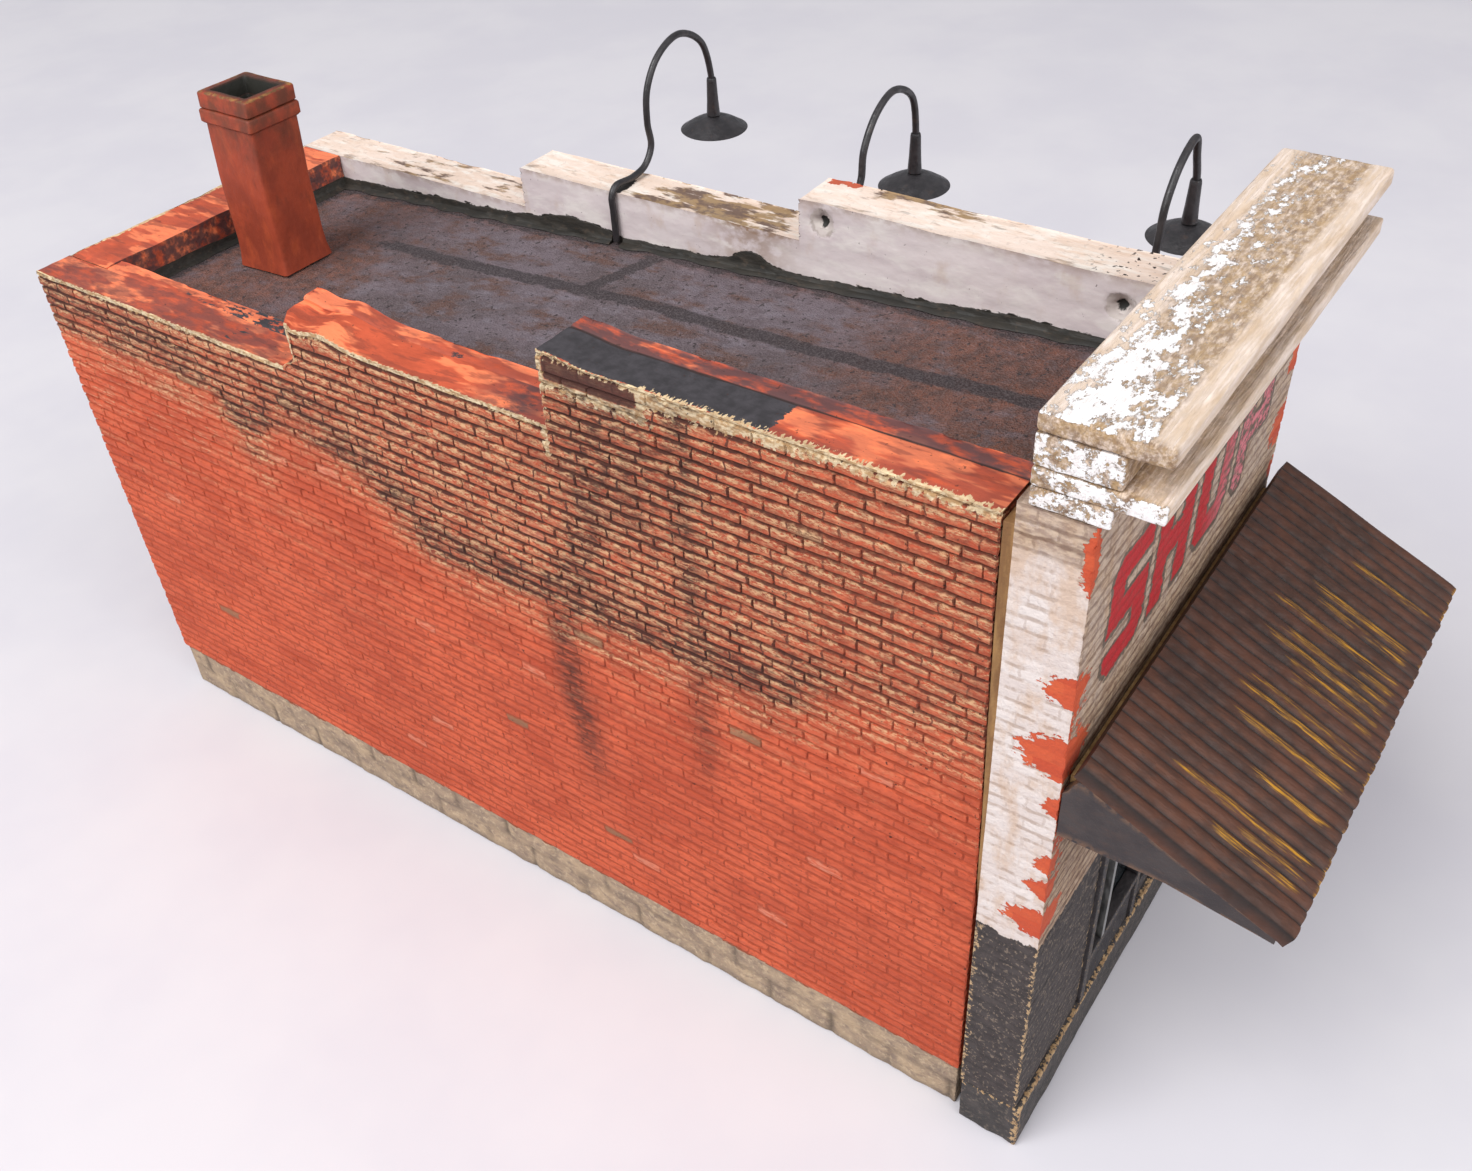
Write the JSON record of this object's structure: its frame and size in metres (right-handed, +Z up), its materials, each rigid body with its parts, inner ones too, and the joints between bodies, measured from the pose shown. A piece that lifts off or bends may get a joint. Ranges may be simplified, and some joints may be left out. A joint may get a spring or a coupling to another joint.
{
  "type": "model railway shop building",
  "caption": "HO scale brick shop building with stepped parapets, a sloping roof, a hollow chimney, a painted shopfront, a ribbed awning and gooseneck lamps.",
  "frame": {"origin": "centre of the whole object's footprint, on the ground", "axes": "+Z up, -Y towards the shopfront, +Y to the back of the building, +X to the side with the lamps"},
  "size_m": [0.0418, 0.0944, 0.0553],
  "materials": {
    "brick_casting": "matt paint",
    "white_casting": "matt paint, grimy",
    "footing_stone": "matt, rough",
    "charcoal_paint": "worn satin paint",
    "cream_timber": "flaking paint",
    "bare_timber": "unpainted",
    "roof_paper": "matt, sooty",
    "tar": "satin",
    "awning_paint": "matt, rust streaked",
    "bare_metal": "dull",
    "lamp_paint": "satin black over brass wire",
    "glazing": "clear"
  },
  "bodies": {
    "building": {"left_wall": "brick_casting", "left_parapet_backing": "brick_casting", "right_wall": "white_casting", "rear_wall": "brick_casting", "left_footing": "footing_stone", "right_footing": "footing_stone", "rear_footing": "footing_stone", "left_joint_strip": "bare_timber", "right_joint_strip": "bare_timber", "corner_post_front_left": "bare_timber", "corner_post_front_right": "bare_timber", "corner_post_rear_left": "bare_timber", "corner_post_rear_right": "bare_timber", "roof_panel": "roof_paper", "roof_bearer_left": "bare_timber", "roof_bearer_right": "bare_timber", "flashing_left": "tar", "flashing_right_front": "tar", "flashing_right_rear": "tar", "flashing_rear": "tar", "flashing_front": "tar", "chimney_stack": "brick_casting", "chimney_band": "brick_casting", "chimney_rim": "brick_casting", "facade": "white_casting", "plinth": "charcoal_paint", "cornice_frieze": "cream_timber", "cornice_moulding": "cream_timber", "cornice_neck": "cream_timber", "cornice_cap": "cream_timber", "shopfront_frame": "charcoal_paint", "shopfront_panel": "charcoal_paint", "window_mullion": "bare_metal", "window_glass": "glazing", "transom_glass": "glazing", "door_leaf": "charcoal_paint", "door_glass": "glazing", "door_knob": "bare_metal", "awning_sheet": "awning_paint", "awning_end_left": "awning_paint", "awning_end_right": "awning_paint", "awning_ledger": "bare_timber", "awning_front_rail": "bare_timber", "awning_rafter_left": "bare_timber", "awning_rafter_right": "bare_timber", "lamp_rear_arm": "lamp_paint", "lamp_rear_sleeve": "lamp_paint", "lamp_rear_shade": "lamp_paint"},
    "middle_lamp": {"lamp_middle_arm": "lamp_paint", "lamp_middle_sleeve": "lamp_paint", "lamp_middle_shade": "lamp_paint"},
    "front_lamp": {"lamp_front_arm": "lamp_paint", "lamp_front_sleeve": "lamp_paint", "lamp_front_shade": "lamp_paint"}
  },
  "joints": [
    {"name": "middle_lamp_twist", "type": "hinge", "parent": "building", "child": "middle_lamp", "pos_m": [0.00743, -0.00455, 0.0462], "axis": [1, 0, 0], "range_deg": [-60, 60]},
    {"name": "front_lamp_twist", "type": "hinge", "parent": "building", "child": "front_lamp", "pos_m": [0.00743, -0.02535, 0.0456], "axis": [1, 0, 0], "range_deg": [-60, 60]}
  ]
}
